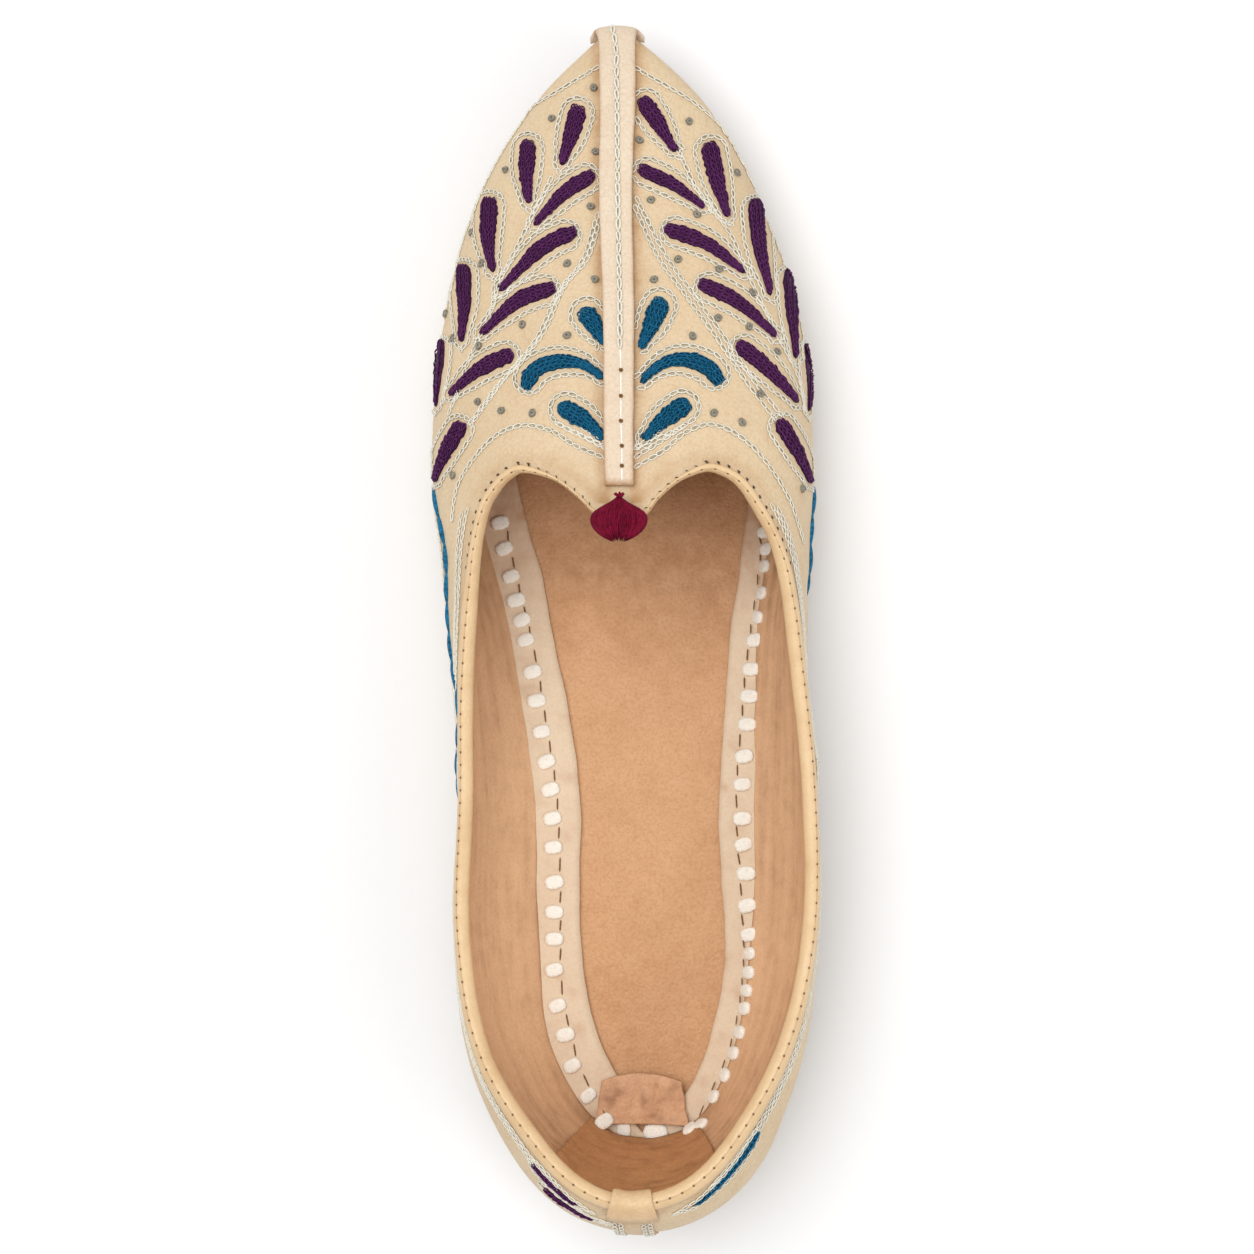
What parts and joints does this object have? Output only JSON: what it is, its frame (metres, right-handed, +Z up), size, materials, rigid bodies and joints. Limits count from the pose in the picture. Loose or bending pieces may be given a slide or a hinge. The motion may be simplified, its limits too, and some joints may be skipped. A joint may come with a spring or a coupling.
{
  "type": "mojari",
  "caption": "Flat traditional leather shoe with a pointed toe, open collar, lobed throat, tassel and toe strap, for a left foot",
  "frame": {"origin": "on the floor, at the middle of the heel's flat resting face", "axes": "+Z up, +Y along the shoe toward the toe, +X toward the inner side of the foot"},
  "size_m": [0.0921, 0.2806, 0.058],
  "materials": {
    "ivory_leather": "soft smooth ivory leather, embroidered, low sheen",
    "rim_leather": "rolled cream leather, slight gloss, fine pinholes",
    "peach_leather": "fine grained pale leather, matt",
    "lining_leather": "tan lining leather, matt, faint streaks",
    "insole_leather": "tan leather, fine grain, matt",
    "sole_leather": "thick tan sole leather with a burnished edge",
    "crimson_thread": "silky crimson threads"
  },
  "bodies": {
    "root": {"outsole": "sole_leather", "heel_lift": "sole_leather", "insole": "insole_leather", "upper": "ivory_leather", "inner_band": "peach_leather", "heel_pad": "lining_leather", "counter_lining": "lining_leather", "collar_binding": "rim_leather", "heel_wrap": "rim_leather", "backstay": "ivory_leather", "toe_strap": "peach_leather", "tassel": "crimson_thread"}
  },
  "joints": []
}
